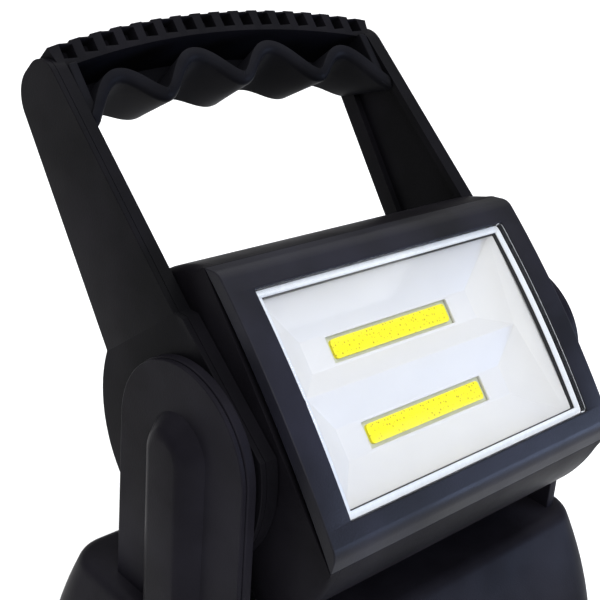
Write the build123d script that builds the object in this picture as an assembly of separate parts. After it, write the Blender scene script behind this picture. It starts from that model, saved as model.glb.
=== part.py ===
from build123d import *
import os
from math import cos, sin, pi, radians

# Portable work light: a D-section lamp head and a swinging carry handle share one
# cross axis between two upright arms, which stand on a flared battery base.
# Frame: +X to the right, +Y to the rear, +Z up. The origin is on the resting plane,
# straight under the hinge axis. Head and handle are drawn upright about the axis and
# then leant back to their rest angles.

# ---- driving dimensions (mm, degrees) ----
axis_height = 86.0
head_lean = 41.6
handle_lean = 43.4

head_radius = 39.6
head_drop = 0.9
head_half = 46.8
cap_thickness = 2.8
face_offset = 26.6
face_bow_radius = 277.0
bezel_thickness = 3.4
shell_wall = 2.6
corner_round = 2.2

window_width = 80.0
window_height = 51.4
lens_ledge = 1.8
lens_thickness = 1.6
lens_gap = 0.15
seal_gap = 0.2
seal_thickness = 0.4
window_corner = 1.6

heel_radius = 29.1
heel_centre = (5.6, 4.0)
heel_front = 18.6
heel_flare = -0.15
leg_height_at_heel = 30.0
leg_inner = 47.5
leg_outer = 51.8
leg_cover_thickness = 1.4
leg_top = 95.5
leg_front = 16.2
leg_rear = 22.1
leg_taper = 0.113
leg_corner = 6.5
web_bottom = 37.0
web_top = 92.0
web_front_rim = 2.2
web_rear_rim = 5.0
leg_screw_places = ((20.0, -8.0), (13.0, 25.0))

arch_radius = 210.0
arch_top = 101.5
beam_depth = 5.8
beam_level = 96.0
finger_pitch = 24.0
finger_wave = 4.4
finger_mean = 84.6
rear_wave = 1.9
rear_mean = 85.8
finger_sag = 1 / 300
rear_sag = 1 / 900
grip_front_level = 88.0
grip_rear_level = 90.0
grip_rim = 2.5
grip_back_wall = 2.6
grip_round = 1.2
grip_wall = 3.2
grip_half = 47.2
notch_count = 16
notch_pitch = 6.05
notch_height = 4.2
notch_depth = 5.0
notch_half = 1.7
notch_roof = 0.7

arm_inner = 52.7
arm_outer = 56.2
arm_cover_thickness = 1.2
arm_radius = 21.8
arm_draft = 0.017
arch_flattening = 0.958
tongue_height = 4.8
tongue_top_half = 5.8
tongue_foot_half = 9.8
tongue_wall = 1.8
tongue_roof = 1.5
cover_inset = 0.35

bolt_radius = 4.0
bolt_fit = 0.05
bolt_head_radius = 6.3
bolt_end = 36.5
nut_radius = 7.2
nut_outer = 41.2
nut_inner = 37.2
washer_radius = 10.0

lead_radius = 1.2
lead_bore = 1.6
lead_level = 30.8

deck_height = 42.5
pad_thickness = 2.0
base_wall = 2.6
deck_round = 2.4
base_top = (60.8, -27.0, 37.0, 9.0)
base_middle = (63.7, -36.0, 44.5, 12.0)
base_bottom = (66.5, -42.0, 50.5, 15.0)
middle_height = 26.0

cell_radius = 9.2
cell_length = 65.0
cell_pitch = 19.6
cell_centre_y = 4.5
cell_centre_z = 16.0

parts = {}


# ---- helpers ----
def along_x(outline, start, end):
    """Outline drawn in (Y, Z), pushed along X from start to end."""
    return extrude(Plane.YZ.offset(start) * outline, end - start)


def along_y(outline, start, end):
    """Outline drawn in (X, Z), pushed along Y from start to end."""
    plane = Plane((0, start, 0), x_dir=(1, 0, 0), z_dir=(0, 1, 0))
    return extrude(plane * mirror_flat(outline), end - start)


def mirror_flat(outline):
    """Turns (X, Z) drawing coordinates to suit a plane that looks along +Y."""
    return mirror(outline, about=Plane.XZ)


def rod(radius, start, end, y=0.0, z=0.0):
    """Round bar along X."""
    return along_x(Pos(y, z) * Circle(radius), start, end)


def block(x0, x1, y0, y1, z0, z1):
    size = Box(x1 - x0, y1 - y0, z1 - z0)
    return Pos((x0 + x1) / 2, (y0 + y1) / 2, (z0 + z1) / 2) * size


def other_side(shape):
    return mirror(shape, about=Plane.YZ)


def lean(shape, angle):
    """Leans an upright piece back about the cross axis and lifts it to its height."""
    return Pos(0, 0, axis_height) * (Rot(-angle, 0, 0) * shape)


def raise_up(shape):
    return Pos(0, 0, axis_height) * shape


def as_solids(shape):
    found = list(shape.solids())
    return found[0] if len(found) == 1 else Compound(found)


def put(name, shape):
    parts[name] = as_solids(shape)


def put_pair(name, left_shape, place):
    """Writes a left piece and its mirrored right twin."""
    put(name + "_left", place(left_shape))
    put(name + "_right", place(other_side(left_shape)))


# ---- lamp head, drawn about the drum's own centre; the pivot lies head_drop above it ----
def bowed(offset):
    """Everything behind the gently bowed front surface, set in by offset."""
    return Pos(face_bow_radius - face_offset, 0) * Circle(face_bow_radius - offset)


def head_outline(inset=0.0, front_inset=0.0):
    return Circle(head_radius - inset) & bowed(front_inset)


def front_prism(width, height, corner, depth=60.0):
    """Rounded rectangle that runs front to rear through the window."""
    return along_y(RectangleRounded(width, height, corner), -depth, 0.0)


def bezel():
    plate = along_x(head_outline() - bowed(bezel_thickness), -head_half, head_half)
    long_edges = plate.edges().filter_by(Axis.X).group_by(Axis.Y)[0]
    plate = fillet(long_edges, corner_round)
    opening = (window_width - 2 * lens_ledge, window_height - 2 * lens_ledge)
    window = front_prism(*opening, window_corner - seal_thickness)
    rebate = front_prism(window_width, window_height, window_corner)
    rebate -= along_x(bowed(lens_thickness + seal_thickness), -head_half, head_half)
    return plate - window - rebate


def lens():
    skin = along_x(bowed(0.05) - bowed(lens_thickness), -head_half, head_half)
    size = (window_width - 2 * lens_gap, window_height - 2 * lens_gap)
    return skin & front_prism(*size, window_corner - lens_gap)


def lens_seal():
    ring = front_prism(window_width - 2 * seal_gap, window_height - 2 * seal_gap, window_corner - seal_gap)
    inner = 2 * lens_ledge - 3 * seal_gap
    ring -= front_prism(window_width - inner, window_height - inner, window_corner - 2 * seal_gap)
    layer = bowed(lens_thickness) - bowed(lens_thickness + seal_thickness)
    return ring & along_x(layer, -head_half, head_half)


screw_ring = 34.4
screw_angles = (-72.0, 0.0, 72.0)


def screw_places():
    return [(screw_ring * cos(radians(a)), screw_ring * sin(radians(a))) for a in screw_angles]


screw_boss = (3.4, 9.0)
screw_pilot = (1.2, 8.0)
seat_radius = 3.1
seat_depth = 1.7
screw_clearance = 1.7
shell_opening = 58.0
button_radius = 6.0
button_gap = 0.35
collar_radius = 9.5
collar_back = 33.5
collar_front = 37.4
hub_radius = 9.0
hub_end = 5.0


def head_shell():
    cap_plane = head_half - cap_thickness
    hollow = Circle(head_radius - shell_wall) + Pos(-25, 0) * Rectangle(20, shell_opening)
    tube = along_x(head_outline(0, bezel_thickness) - hollow, -cap_plane, cap_plane)
    for y, z in screw_places():
        boss = rod(screw_boss[0], -cap_plane, -cap_plane + screw_boss[1], y, z)
        boss -= rod(screw_pilot[0], -cap_plane, -cap_plane + screw_pilot[1], y, z)
        tube += boss
        tube += other_side(boss)
    seat = along_y(Circle(collar_radius), collar_back, collar_front)
    return tube + seat - along_y(Circle(button_radius + button_gap), 30, 45)


def end_cap():
    start = -head_half
    plate = along_x(head_outline(0, bezel_thickness), start, start + cap_thickness)
    plate = fillet(plate.edges().group_by(Axis.X)[0].filter_by(GeomType.CIRCLE), corner_round)
    plate += rod(hub_radius, start + cap_thickness, start + hub_end, 0, head_drop)
    plate -= rod(bolt_radius + bolt_fit, start - 1, start + hub_end + 1, 0, head_drop)
    for y, z in screw_places():
        plate -= rod(screw_clearance, start - 1, start + cap_thickness + 1, y, z)
        plate -= rod(seat_radius, start - 1, start + seat_depth, y, z)
    return plate


screw_head_radius = 2.8
screw_shank_radius = 1.5
screw_thread_radius = 1.15
screw_length = 9.5


def cap_screws():
    group = None
    start = -head_half
    for y, z in screw_places():
        screw = rod(screw_head_radius, start + 0.2, start + seat_depth, y, z)
        screw += rod(screw_shank_radius, start + seat_depth, start + cap_thickness, y, z)
        screw += rod(screw_thread_radius, start + cap_thickness, start + screw_length, y, z)
        group = screw if group is None else Compound([*group.solids(), *screw.solids()])
    return group


reflector_half = (39.4, 26.6)
reflector_front = -22.0
reflector_back = -15.2
floor_depth = -16.2
led_centres = {"upper": 9.6, "lower": -10.7}
led_window = (40.0, 6.2)
# each trough's floor and mouth: lowest and highest z, then half width
trough_floors = {"upper": (5.8, 13.3, 28.7), "lower": (-14.5, -7.0, 28.7)}
trough_mouths = {"upper": (-0.8, 22.0, 38.0), "lower": (-21.8, 3.7, 38.0)}


def upright_rectangle(y, low, high, half_x):
    plane = Plane((0, y, (low + high) / 2), x_dir=(1, 0, 0), z_dir=(0, 1, 0))
    return plane * Rectangle(2 * half_x, high - low)


def reflector():
    """Tray with two hipped troughs, one round each light strip, that meet in a low ridge."""
    half_x, half_z = reflector_half
    tray = block(-half_x, half_x, -head_radius, reflector_back, -half_z, half_z)
    tray &= along_x(bowed(bezel_thickness + 0.1), -half_x, half_x)
    low, high = trough_mouths["lower"][0], trough_mouths["upper"][1]
    mouth_half_x = trough_mouths["upper"][2]
    tray -= block(-mouth_half_x, mouth_half_x, -head_radius, reflector_front, low, high)
    led_half_x, led_half_z = led_window[0] / 2, led_window[1] / 2
    for name, z in led_centres.items():
        mouth = upright_rectangle(reflector_front, *trough_mouths[name])
        floor = upright_rectangle(floor_depth, *trough_floors[name])
        tray -= loft([mouth, floor])
        back = reflector_back
        tray -= block(-led_half_x, led_half_x, back - 3, back + 1, z - led_half_z, z + led_half_z)
    return tray


cob_half = (23.0, 6.5)
phosphor_half = (19.2, 2.9)
cob_front = reflector_back + 0.1
sink_front = reflector_back + 1.3


def cob_board(z):
    return block(-cob_half[0], cob_half[0], cob_front, sink_front, z - cob_half[1], z + cob_half[1])


def cob_phosphor(z):
    half_x, half_z = phosphor_half
    return block(-half_x, half_x, reflector_back - 0.7, cob_front, z - half_z, z + half_z)


sink_half = (33.0, 25.0)
sink_plate = 3.0
fin_length = 10.0
fin_pitch = 6.8
fin_half = (0.9, 22.0)


def heat_sink():
    half_x, half_z = sink_half
    root = sink_front + sink_plate
    plate = block(-half_x, half_x, sink_front, root, -half_z, half_z)
    for step in range(-4, 5):
        x = step * fin_pitch
        plate += block(x - fin_half[0], x + fin_half[0], root, root + fin_length, -fin_half[1], fin_half[1])
    return plate


driver_front = 7.0
driver_half = (30.0, 17.0)
board_thickness = 1.6
coil_size = (5.0, 6.0)
capacitor_size = (4.0, 8.0)


def driver_board():
    back = driver_front + board_thickness
    board = block(-driver_half[0], driver_half[0], driver_front, back, -driver_half[1], driver_half[1])
    coil = Pos(-16, back + coil_size[1] / 2, 4) * Cylinder(*coil_size, rotation=(90, 0, 0))
    capacitor = Pos(14, back + capacitor_size[1] / 2, -6) * Cylinder(*capacitor_size, rotation=(90, 0, 0))
    return board + coil + capacitor


def head_lead():
    """Lead from the hollow pivot to the driver board."""
    start, turn = -35.2, -29.5
    stations = [(start, 0, head_drop), (turn, 0, head_drop), (turn, driver_front, head_drop)]
    route = FilletPolyline(*stations, radius=3.0)
    return sweep(Plane.YZ.offset(start) * (Pos(0, head_drop) * Circle(lead_radius - 0.2)), path=route)


switch_half = 6.0
switch_board_half = 9.0
switch_board_front = 20.4
switch_front = 22.0
switch_back = 30.0
stem_radius = 2.2
stem_front = 31.6
button_front = 34.0
button_back = 41.3
button_round = 0.8


def switch_body():
    half = switch_half
    board = switch_board_half
    body = block(-half, half, switch_front, switch_back, -half, half)
    return body + block(-board, board, switch_board_front, switch_front, -board, board)


def switch_button():
    stem = along_y(Circle(stem_radius), stem_front, button_front)
    button = along_y(Circle(button_radius), button_front, button_back)
    return stem + fillet(button.edges().group_by(Axis.Y)[-1], button_round)


def place_in_head(shape):
    return lean(Pos(0, 0, -head_drop) * shape, head_lean)


def head_pieces():
    place = place_in_head
    put("bezel", place(bezel()))
    put("lens", place(lens()))
    put("lens_seal", place(lens_seal()))
    put("head_shell", place(head_shell()))
    put_pair("end_cap", end_cap(), place)
    put_pair("cap_screws", cap_screws(), place)
    put("reflector", place(reflector()))
    put("heat_sink", place(heat_sink()))
    for name, z in led_centres.items():
        put("cob_board_" + name, place(cob_board(z)))
        put("cob_phosphor_" + name, place(cob_phosphor(z)))
    put("driver_board", place(driver_board()))
    put("head_lead", place(head_lead()))
    put("switch_body", place(switch_body()))
    put("switch_button", place(switch_button()))


# ---- carry handle ----
def leg_edge(height):
    """Front and rear positions of a leg at a height above the axis."""
    return -(leg_front - leg_taper * height), leg_rear - leg_taper * height


def blade(bottom, top, front_inset=0.0, rear_inset=0.0):
    low_front, low_rear = leg_edge(bottom)
    high_front, high_rear = leg_edge(top)
    corners = [
        (low_front + front_inset, bottom),
        (high_front + front_inset, top),
        (high_rear - rear_inset, top),
        (low_rear - rear_inset, bottom),
    ]
    return make_face(Polyline(*corners, close=True))


def leg_outline():
    """Blade with a round heel; the heel's centre lies behind the axis."""
    leg = blade(0, leg_top)
    leg = fillet(leg.vertices().group_by(Axis.Y)[-1], leg_corner)
    low, high = heel_centre[1] - heel_radius - 1, leg_height_at_heel
    front_line = [(-heel_front - heel_flare * z, z) for z in (high, low)]
    behind = make_face(Polyline(*front_line, (60, low), (60, high), close=True))
    heel = Pos(*heel_centre) * Circle(heel_radius) & behind
    return heel + leg


def arch(height):
    """Disc whose upper edge is the handle's arch, peaking at the given height."""
    return Pos(0, height - arch_radius) * Circle(arch_radius)


def handle_frame():
    cover_plane = leg_outer - leg_cover_thickness
    leg = along_x(leg_outline(), -cover_plane, -leg_inner)
    web = blade(web_bottom, web_top, web_front_rim, web_rear_rim)
    leg -= along_x(web, -cover_plane + 1.0, -leg_inner + 1)
    leg -= rod(bolt_radius + bolt_fit, -60, -40)
    beam_outline = arch(arch_top) - arch(arch_top - beam_depth)
    beam_outline &= Pos(0, 90) * Rectangle(2 * cover_plane, 40)
    front, rear = leg_edge(beam_level)
    beam = along_y(beam_outline, front, rear)
    for step in range(notch_count):
        x = (step - (notch_count - 1) / 2) * notch_pitch
        crown = arch_top - x * x / (2 * arch_radius)
        low, high = x - notch_half, x + notch_half
        beam -= block(low, high, front - 1, front + notch_depth, crown - notch_height, crown - notch_roof)
        beam -= block(low, high, front - 1, front + 1.2, crown - 1, arch_top + 5)
    return leg + other_side(leg) + beam


def leg_cover():
    plate = along_x(leg_outline(), -leg_outer, -leg_outer + leg_cover_thickness)
    return plate - rod(bolt_radius + bolt_fit, -60, -40)


def leg_screws():
    group = []
    start = -(leg_outer - leg_cover_thickness) + 1.0
    for y, z in leg_screw_places:
        screw = rod(2.4, start, start + 1.3, y, z) + rod(1.0, start - 1.8, start, y, z)
        group.append(screw.solid())
    return Compound(group)


def finger_height(x, mean, wave, sag):
    """Underside of the finger grip: hollows for four fingers on a shallow arch."""
    return mean - x * x * sag + wave * cos(2 * pi * (abs(x) - finger_pitch / 2) / finger_pitch)


def above_wave(half, lift, shape_at):
    """Everything in the grip's outline above its wavy underside, raised by lift."""
    xs = [-half + step * half / 16 for step in range(33)]
    curve = Spline(*[(x, finger_height(x, *shape_at) + lift) for x in xs])
    edge_z = finger_height(half, *shape_at) + lift
    sides = Polyline((half, edge_z), (half, arch_top), (-half, arch_top), (-half, edge_z))
    return make_face([curve, sides])


def front_plane(y):
    return Plane((0, y, 0), x_dir=(1, 0, 0), z_dir=(0, -1, 0))


def finger_grip():
    front = leg_edge(grip_front_level)[0]
    rear = leg_edge(grip_rear_level)[1]
    front_wave = (finger_mean, finger_wave, finger_sag)
    waves = ((front, front_wave), (rear, (rear_mean, rear_wave, rear_sag)))
    body = loft([front_plane(y) * above_wave(grip_half, 0, wave) for y, wave in waves])
    hollow = loft([front_plane(y) * above_wave(grip_half - grip_rim, grip_wall, wave) for y, wave in waves])
    edge = body.edges().group_by(Axis.Y)[0].group_by(Axis.Z)[0]
    body = fillet(edge, grip_round)
    hollow &= block(-60, 60, front - 1, rear - grip_back_wall, 60, 120)
    return body & along_y(arch(arch_top - beam_depth - 0.02), front - 1, rear + 1) - hollow


def handle_pieces():
    place = lambda shape: lean(shape, handle_lean)
    screws = leg_screws()
    holes = [*screws.solids(), *other_side(screws).solids()]
    frame = handle_frame()
    cover = leg_cover()
    for hole in holes:
        frame -= hole
        cover -= hole
    put("handle_frame", place(frame))
    put_pair("leg_cover", cover, place)
    put_pair("leg_screws", screws, place)
    put("finger_grip", place(finger_grip()))


# ---- arms and pivots ----
arm_foot = deck_height - axis_height - 9.0


def arm_outline(inset=0.0, foot=arm_foot):
    half = arm_radius - inset
    foot_half = half - arm_draft * foot
    leg = make_face(Polyline((-half, 0), (half, 0), (foot_half, foot), (-foot_half, foot), close=True))
    return Ellipse(half, half * arch_flattening) + leg


def arm():
    plate = along_x(arm_outline(), -arm_outer + arm_cover_thickness, -arm_inner)
    return plate - rod(bolt_radius + bolt_fit, -60, -50)


def tongue_outline(half, foot):
    return Circle(half) + Pos(0, foot / 2) * Rectangle(2 * half, -foot)


def tongue(grow, rise):
    """Raised, round-topped strap down the middle of an arm, with sloping flanks."""
    foot = deck_height - axis_height + 0.1
    low = Plane.YZ.offset(-arm_outer) * tongue_outline(tongue_foot_half + grow, foot)
    high = Plane.YZ.offset(-arm_outer - rise) * tongue_outline(tongue_top_half + grow, foot)
    return loft([low, high])


def arm_cover():
    foot = deck_height - axis_height + 0.1
    plate = along_x(arm_outline(cover_inset, foot), -arm_outer, -arm_outer + arm_cover_thickness)
    raised = tongue(0.0, tongue_height)
    hollow = tongue(-tongue_wall, tongue_height - tongue_roof)
    hollow += along_x(tongue_outline(tongue_foot_half - tongue_wall, foot), -arm_outer, -50)
    return plate + raised - hollow


def pivot_bolt(hollow):
    head = rod(bolt_head_radius, -arm_outer, -arm_outer + arm_cover_thickness)
    shank = rod(bolt_radius, -arm_outer + arm_cover_thickness, -bolt_end)
    bolt = head + shank
    return bolt - rod(lead_bore, -60, -30) if hollow else bolt


def pivot_nut():
    nut = along_x(RegularPolygon(nut_radius, 6), -nut_outer, -nut_inner)
    return nut - rod(bolt_radius, -45, -30)


def ring_washer(outer, start, end):
    return rod(outer, start, end) - rod(bolt_radius + bolt_fit, start - 1, end + 1)


def base_lead(radius=lead_radius):
    """Lead from the charge board, up the left arm and in through the hollow pivot."""
    start, rise = -24, -58.0
    stations = [
        (start, 0, lead_level),
        (-49, 0, lead_level),
        (rise, 0, 56),
        (rise, 0, axis_height),
        (-35.5, 0, axis_height),
    ]
    route = FilletPolyline(*stations, radius=1.7)
    return sweep(Plane.YZ.offset(start) * (Pos(0, lead_level) * Circle(radius)), path=route)


def arm_pieces():
    channel = base_lead(lead_bore)
    put("base_lead", base_lead())
    put("arm_left", raise_up(arm()) - channel)
    put("arm_right", raise_up(other_side(arm())))
    put_pair("arm_cover", arm_cover(), raise_up)
    put("pivot_bolt_left", raise_up(pivot_bolt(True)) - channel)
    put("pivot_bolt_right", raise_up(other_side(pivot_bolt(False))))
    put_pair("pivot_nut", pivot_nut(), raise_up)
    put_pair("arm_washer", ring_washer(washer_radius, -arm_inner, -arm_inner + 0.5), raise_up)
    put_pair("head_washer", ring_washer(washer_radius, -head_half - 0.3, -head_half), raise_up)


# ---- base ----
def plan(section, height, inset=0.0):
    half_x, front, rear, corner = section
    outline = RectangleRounded(2 * (half_x - inset), rear - front - 2 * inset, corner - inset)
    return Pos(0, (front + rear) / 2, height) * outline


def flared(inset, bottom, top):
    sections = [
        plan(base_bottom, bottom, inset),
        plan(base_middle, middle_height, inset),
        plan(base_top, top, inset),
    ]
    return loft(sections)


base_screw_places = [(x, y) for x in (-50.0, 50.0) for y in (-25.0, 34.0)]
port_height = 31.0
port_low = (-4.6, 29.6)
port_high = (4.6, 33.2)
port_clearance = 0.1
boss_radius = 4.2
plate_top = 4.6
slot_clearance = 0.1


def base_shell():
    shell = flared(0.0, pad_thickness, deck_height)
    shell = fillet(shell.edges().group_by(Axis.Z)[-1], deck_round)
    shell -= flared(base_wall, pad_thickness, deck_height - base_wall)
    for x, y in base_screw_places:
        boss = Pos(x, y, 22.8) * Cylinder(boss_radius, 36)
        shell += boss & flared(1.0, pad_thickness, deck_height)
        shell -= Pos(x, y, 13) * Cylinder(1.3, 18)
    gap = slot_clearance
    slot = along_x(arm_outline(-gap), -arm_outer + arm_cover_thickness - gap, -arm_inner + gap)
    slot = raise_up(slot)
    shell -= slot
    shell -= other_side(slot)
    return shell


def base_plate():
    plate = flared(base_wall + 0.2, pad_thickness, deck_height)
    plate &= block(-80, 80, -60, 70, pad_thickness, plate_top)
    for x, y in base_screw_places:
        plate -= Pos(x, y, 4) * Cylinder(1.7, 10)
        plate -= Pos(x, y, 2.4) * Cylinder(3.2, 1.8)
    return plate


def foot_pad():
    pad = extrude(plan(base_bottom, 0.0, 1.5), pad_thickness)
    return fillet(pad.edges().group_by(Axis.Z)[0], 0.6)


def base_screws():
    group = []
    for x, y in base_screw_places:
        screw = Pos(x, y, 2.65) * Cylinder(2.9, 1.3) + Pos(x, y, 8.0) * Cylinder(1.25, 9.6)
        group.append(screw.solid())
    return Compound(group)


def cell_places():
    return [cell_centre_y + step * cell_pitch for step in (-1, 0, 1)]


def battery_cells():
    half = cell_length / 2
    return Compound([rod(cell_radius, -half, half, y, cell_centre_z).solid() for y in cell_places()])


def battery_holder():
    half_y = 1.5 * cell_pitch + 1.2
    half_x = cell_length / 2 + 0.4
    tray = block(-36, 36, cell_centre_y - half_y, cell_centre_y + half_y, plate_top, 17.0)
    for y in cell_places():
        tray -= rod(cell_radius + 0.15, -half_x, half_x, y, cell_centre_z)
        low, high = y - cell_radius - 0.1, y + cell_radius + 0.1
        tray -= block(-half_x, half_x, low, high, cell_centre_z, 20)
    return tray


def charge_board():
    board = block(-28, 28, -6, 34, 28.0, 29.6)
    chip = block(-6, 4, 4, 14, 29.6, 31.2)
    return board + chip


def port_face(height):
    """Rear wall position of the flared base at a height, between its two upper sections."""
    share = (height - middle_height) / (deck_height - middle_height)
    return base_middle[2] + (base_top[2] - base_middle[2]) * share


def charge_socket():
    return block(port_low[0], port_high[0], 33.0, port_face(port_height) - 1.2, port_low[1], port_high[1])


def base_pieces():
    put("base_plate", base_plate())
    put("foot_pad", foot_pad())
    put("base_screws", base_screws())
    put("battery_cells", battery_cells())
    put("battery_holder", battery_holder())
    put("charge_board", charge_board())
    socket = charge_socket()
    put("charge_socket", socket)
    gap = port_clearance
    port = block(port_low[0] - gap, port_high[0] + gap, 30, 60, port_low[1] - gap, port_high[1] + gap)
    put("base_shell", base_shell() - port - base_lead(lead_bore))


head_pieces()
handle_pieces()
arm_pieces()
base_pieces()

os.makedirs("parts", exist_ok=True)
for name, shape in parts.items():
    export_step(shape, os.path.join("parts", name + ".step"))
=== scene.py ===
from math import asin, cos, pi, radians, sin, sqrt

import bmesh
import bpy
from mathutils import Matrix, Vector


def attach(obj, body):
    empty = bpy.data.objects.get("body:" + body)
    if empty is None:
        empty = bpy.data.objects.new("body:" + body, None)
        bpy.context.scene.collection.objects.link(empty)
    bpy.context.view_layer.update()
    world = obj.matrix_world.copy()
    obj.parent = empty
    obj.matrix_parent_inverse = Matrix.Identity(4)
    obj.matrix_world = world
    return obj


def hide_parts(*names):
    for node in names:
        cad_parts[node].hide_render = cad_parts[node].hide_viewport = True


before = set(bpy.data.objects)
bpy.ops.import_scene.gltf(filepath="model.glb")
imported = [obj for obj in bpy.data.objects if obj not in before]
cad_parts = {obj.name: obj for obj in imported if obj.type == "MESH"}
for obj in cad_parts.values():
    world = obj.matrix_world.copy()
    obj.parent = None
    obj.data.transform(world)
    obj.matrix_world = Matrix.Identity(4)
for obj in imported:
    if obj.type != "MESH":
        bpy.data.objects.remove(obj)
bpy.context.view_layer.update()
mm = 0.001

# ---------------------------------------------------------------------------
# Base housing: one moulded ABS shell, flared towards the floor and closed below
# by a plate. It comes out of its tool with a fine eroded grain on every face,
# rounded corners and a soft edge round the deck.
# ---------------------------------------------------------------------------
pad_top = 2.0 * mm
middle_height = 26.0 * mm
deck_height = 42.5 * mm
# half width, front, rear and corner radius of the plan at the three heights
plan_at_foot = (66.5 * mm, -42.0 * mm, 50.5 * mm, 15.0 * mm)
plan_at_middle = (63.7 * mm, -36.0 * mm, 44.5 * mm, 12.0 * mm)
plan_at_deck = (60.8 * mm, -27.0 * mm, 37.0 * mm, 9.0 * mm)
deck_edge = 2.4 * mm
foot_edge = 0.6 * mm
port_height = 31.4 * mm
# width, height and depth of the port's shallow frame, then of its mouth
port_cuts = ((11.5 * mm, 6.2 * mm, 0.7 * mm), (9.4 * mm, 3.8 * mm, 9.0 * mm))


def linear(hex_colour):
    """sRGB hex colour as the linear colour that a shader socket takes."""
    channels = [int(hex_colour[i : i + 2], 16) / 255 for i in (1, 3, 5)]
    curve = [c / 12.92 if c <= 0.04045 else ((c + 0.055) / 1.055) ** 2.4 for c in channels]
    return (*curve, 1.0)


def add_node(material, kind, settings=None, links=None, **inputs):
    """Adds a shader node with its settings, socket values and incoming links."""
    node = material.node_tree.nodes.new(kind)
    for name, value in (settings or {}).items():
        setattr(node, name, value)
    for name, value in inputs.items():
        node.inputs[name.replace("_", " ")].default_value = value
    for socket, source in (links or {}).items():
        material.node_tree.links.new(source, node.inputs[socket])
    return node


def new_material(name):
    """Empty node material with its output and a place to read object coordinates."""
    material = bpy.data.materials.new(name)
    material.use_nodes = True
    material.node_tree.nodes.clear()
    output = add_node(material, "ShaderNodeOutputMaterial")
    place = add_node(material, "ShaderNodeTexCoord").outputs["Object"]
    return material, output, place


def grained_plastic(name, dark, light, roughness, grain=0.45, depth=0.035, scuff=0.05, shine=0.022):
    """Moulded ABS or nylon: near black, with an eroded grain that breaks up its sheen."""
    material, output, place = new_material(name)
    cloud = add_node(material, "ShaderNodeTexNoise", links={"Vector": place}, Scale=38.0, Detail=5.0)
    tone = add_node(material, "ShaderNodeValToRGB", links={"Fac": cloud.outputs["Fac"]})
    tone.color_ramp.elements[0].position = 0.36
    tone.color_ramp.elements[0].color = linear(dark)
    tone.color_ramp.elements[1].position = 0.68
    tone.color_ramp.elements[1].color = linear(light)
    # the real grain is about 0.2 mm; it is drawn a little coarser so that it shows
    pits = add_node(
        material,
        "ShaderNodeTexVoronoi",
        {"feature": "SMOOTH_F1"},
        {"Vector": place},
        Scale=1 / (grain * mm),
        Smoothness=0.8,
    )
    dust = add_node(material, "ShaderNodeTexNoise", links={"Vector": place}, Scale=2600.0, Detail=3.0)
    mixed = add_node(
        material,
        "ShaderNodeMath",
        {"operation": "MULTIPLY_ADD"},
        {0: dust.outputs["Fac"], 2: pits.outputs["Distance"]},
    )
    mixed.inputs[1].default_value = 0.6
    bump = add_node(
        material, "ShaderNodeBump", links={"Height": mixed.outputs[0]}, Strength=0.55, Distance=depth * mm
    )
    rubbed = add_node(material, "ShaderNodeTexNoise", links={"Vector": place}, Scale=95.0, Detail=8.0)
    sheen = add_node(
        material,
        "ShaderNodeMapRange",
        links={"Value": rubbed.outputs["Fac"]},
        From_Min=0.3,
        From_Max=0.75,
        To_Min=roughness - scuff,
        To_Max=roughness + scuff,
    )
    surface = add_node(
        material,
        "ShaderNodeBsdfPrincipled",
        links={
            "Base Color": tone.outputs["Color"],
            "Roughness": sheen.outputs["Result"],
            "Normal": bump.outputs["Normal"],
        },
        IOR=1.5,
        Specular_IOR_Level=shine,
    )
    material.node_tree.links.new(surface.outputs["BSDF"], output.inputs["Surface"])
    return material


def clear_selection():
    if bpy.context.object and bpy.context.object.mode != "OBJECT":
        bpy.ops.object.mode_set(mode="OBJECT")
    bpy.ops.object.select_all(action="DESELECT")


def shape(name):
    """Names the primitive just added and opens it for shaping, all of it selected."""
    piece = bpy.context.object
    piece.name = name
    piece.data.name = name
    bpy.ops.object.transform_apply(location=True, rotation=True, scale=True)
    bpy.ops.object.mode_set(mode="EDIT")
    bpy.ops.mesh.select_all(action="SELECT")
    return piece


def pick(kind, test, extend=False):
    """Selects the vertices, edges or faces of the open piece that pass a test."""
    if not extend:
        bpy.ops.mesh.select_all(action="DESELECT")
    bpy.ops.mesh.select_mode(type=kind)
    mesh = bmesh.from_edit_mesh(bpy.context.object.data)
    mesh.normal_update()
    group = {"VERT": mesh.verts, "EDGE": mesh.edges, "FACE": mesh.faces}[kind]
    for item in group:
        if test(item):
            item.select_set(True)
    mesh.select_flush_mode()
    bmesh.update_edit_mesh(bpy.context.object.data)


def push(x=0.0, y=0.0, z=0.0):
    """Extrudes what is selected and moves the new end."""
    bpy.ops.mesh.extrude_region_move(TRANSFORM_OT_translate={"value": (x, y, z)})


def close_up(smooth_angle=35.0):
    """Ends the shaping: doubles merged, faces turned outwards, soft shading."""
    bpy.ops.mesh.select_all(action="SELECT")
    bpy.ops.mesh.remove_doubles(threshold=0.005 * mm)
    bpy.ops.mesh.normals_make_consistent(inside=False)
    bpy.ops.object.mode_set(mode="OBJECT")
    bpy.ops.object.shade_smooth_by_angle(angle=radians(smooth_angle))


def use_modifier(piece, kind, **settings):
    """Adds a modifier and applies it at once."""
    clear_selection()
    piece.select_set(True)
    bpy.context.view_layer.objects.active = piece
    modifier = piece.modifiers.new(kind, kind)
    for name, value in settings.items():
        setattr(modifier, name, value)
    bpy.ops.object.modifier_apply(modifier=modifier.name)


def soften(piece, radius, steps=3, angle=32.0):
    """Rounds every sharp edge by the radius that the tool or the maker left there."""
    use_modifier(
        piece,
        "BEVEL",
        width=radius,
        segments=steps,
        limit_method="ANGLE",
        angle_limit=radians(angle),
        use_clamp_overlap=True,
        miter_outer="MITER_ARC",
    )
    clear_selection()
    piece.select_set(True)
    bpy.context.view_layer.objects.active = piece
    bpy.ops.object.shade_smooth_by_angle(angle=radians(35))


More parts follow.
